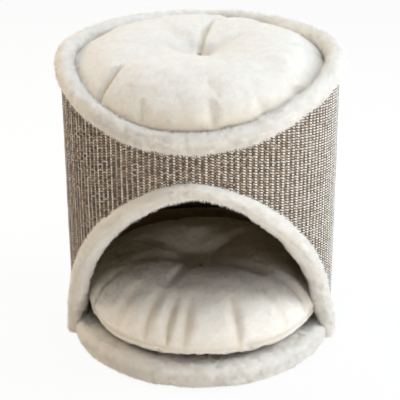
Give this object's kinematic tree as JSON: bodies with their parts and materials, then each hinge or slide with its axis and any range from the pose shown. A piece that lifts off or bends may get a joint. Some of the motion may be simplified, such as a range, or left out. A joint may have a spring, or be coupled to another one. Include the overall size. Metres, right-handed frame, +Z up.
{
  "type": "cat condo",
  "caption": "Round cat condo: sisal covered tube with an arched plush den below, a sunken bed with a scooped rim on top, and loose tufted cushions.",
  "frame": {"origin": "on the floor, under the axis of the tube", "axes": "+Z up along the tube's axis, the doorway faces -Y"},
  "size_m": [0.417, 0.417, 0.4597],
  "materials": {
    "cream_plush": "short pile plush, cream white",
    "taupe_plush": "short pile plush, taupe, inside the den",
    "sisal": "woven sisal, natural beige over dark brown",
    "greyboard": "bare wound greyboard",
    "board": "raw fibreboard",
    "foam": "open cell foam",
    "wadding": "polyester wadding",
    "felt": "pressed felt",
    "tie_cord": "twisted sewing cord",
    "screw_steel": "zinc plated steel"
  },
  "bodies": {
    "condo": {"base_board": "board", "base_pad": "foam", "base_cover": "cream_plush", "floor_pads": "felt", "base_screws": "screw_steel", "tube_shell": "greyboard", "sisal_wrap": "sisal", "den_lining": "taupe_plush", "bed_lining": "cream_plush", "shelf_board": "board", "shelf_cover": "cream_plush", "shelf_screws": "screw_steel", "rim_core": "foam", "rim_cover": "cream_plush", "arch_core": "foam", "arch_cover": "cream_plush"},
    "top_cushion": {"top_cushion_upper": "cream_plush", "top_cushion_lower": "cream_plush", "top_cushion_filling": "wadding", "top_cushion_tie": "tie_cord"},
    "den_cushion": {"den_cushion_upper": "cream_plush", "den_cushion_lower": "cream_plush", "den_cushion_filling": "wadding", "den_cushion_tie": "tie_cord"}
  },
  "joints": [
    {"name": "top_cushion_lift", "type": "slide", "parent": "condo", "child": "top_cushion", "axis": [0, 0, 1], "range_m": [0, 0.13]},
    {"name": "den_cushion_slide", "type": "slide", "parent": "condo", "child": "den_cushion", "axis": [0, -1, 0], "range_m": [0, 0.4]}
  ]
}
